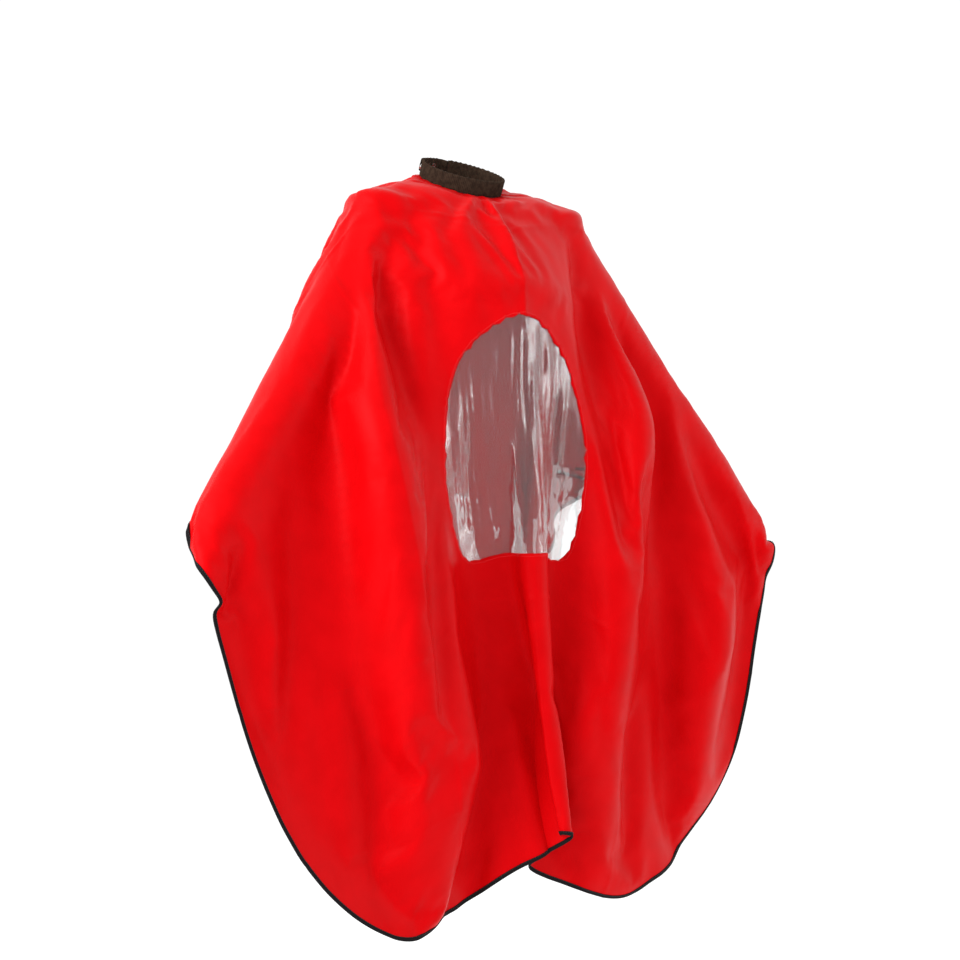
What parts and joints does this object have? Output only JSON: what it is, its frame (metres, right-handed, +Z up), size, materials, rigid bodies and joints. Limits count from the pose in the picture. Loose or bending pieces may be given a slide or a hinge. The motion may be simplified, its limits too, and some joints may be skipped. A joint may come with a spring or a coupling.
{
  "type": "barber cape",
  "caption": "Wide sleeveless hairdressing cape with a clear window in its front, bound edges and a snapped elastic neckband, hanging as worn with both arms held out.",
  "frame": {"origin": "centre of the neck opening, in the middle of the neckband's height, where the wearer's neck holds the cape", "axes": "+Z up, +X towards the wearer's left, -Y towards the wearer's front; the neckband's axis leans 25 degrees forward of +Z"},
  "size_m": [1.0218, 0.3482, 1.0975],
  "materials": {
    "cape_fabric": "smooth red polyester with a soft sheen",
    "window_clear": "clear flexible PVC, glossy and wrinkled",
    "window_thread": "dark red sewing thread",
    "binding_tape": "black folded polyester tape",
    "binding_thread": "black sewing thread",
    "neckband_knit": "black-brown ribbed knit",
    "elastic_core": "woven elastic",
    "snap_metal": "nickel-plated",
    "snap_cap_metal": "black gloss enamel"
  },
  "bodies": {
    "cape": {"cape_body": "cape_fabric", "window_panel": "window_clear", "window_stitching": "window_thread", "hem_binding": "binding_tape", "left_back_binding": "binding_tape", "right_back_binding": "binding_tape", "hem_stitching": "binding_thread", "neckband_cover": "neckband_knit", "neckband_elastic": "elastic_core", "neck_seam_thread": "binding_thread", "snap_studs": "snap_metal", "stud_rivets": "snap_metal"},
    "tab": {"closure_tab": "neckband_knit", "tab_stiffener": "elastic_core", "snap_sockets": "snap_metal", "snap_caps": "snap_cap_metal"}
  },
  "joints": [
    {"name": "neck_tab_hinge", "type": "hinge", "parent": "cape", "child": "tab", "pos_m": [0.00971, 0.05751, 0.02682], "axis": [0, -0.4226, 0.9063], "range_deg": [-100, 0]}
  ]
}
